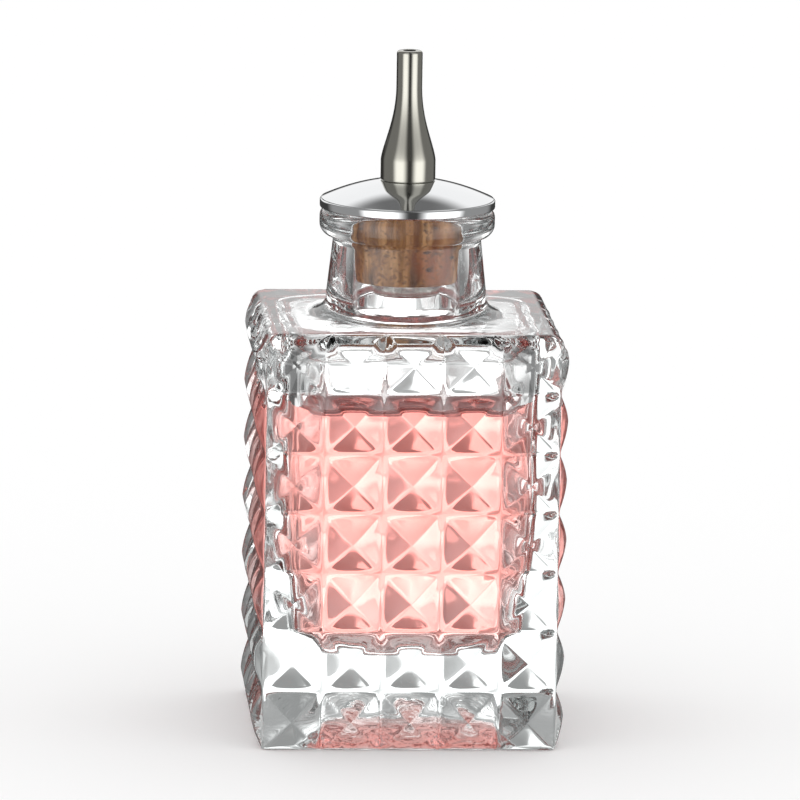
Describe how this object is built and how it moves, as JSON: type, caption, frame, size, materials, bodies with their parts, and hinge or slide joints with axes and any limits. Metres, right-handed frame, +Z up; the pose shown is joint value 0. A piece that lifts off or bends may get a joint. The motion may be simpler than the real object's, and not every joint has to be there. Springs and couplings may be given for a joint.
{
  "type": "bitters bottle",
  "caption": "Square pressed-glass bitters bottle with a diamond pattern, part filled, and a lift-out cork stopper with a domed disc and a slender pouring spout.",
  "frame": {"origin": "centre of the base, on the plane that the bottle stands on", "axes": "+Z up along the bottle's and the spout's common axis; X and Y square to the block's flat sides"},
  "size_m": [0.057, 0.057, 0.1243],
  "materials": {
    "clear_glass": "clear, polished pressed glass",
    "pink_liquid": "clear pink liquid",
    "natural_cork": "natural cork, speckled",
    "polished_disc": "mirror polished",
    "steel_tube": "plain steel tube",
    "bright_nut": "polished, round",
    "dark_polished_steel": "polished warm grey steel"
  },
  "bodies": {
    "bottle": {"glass_bottle": "clear_glass", "bitters": "pink_liquid"},
    "stopper": {"cork": "natural_cork", "cap_disc": "polished_disc", "core_tube": "steel_tube", "retaining_nut": "bright_nut", "pour_spout": "dark_polished_steel"}
  },
  "joints": [
    {"name": "stopper_lift", "type": "slide", "parent": "bottle", "child": "stopper", "axis": [0, 0, 1], "range_m": [0, 0.04]}
  ]
}
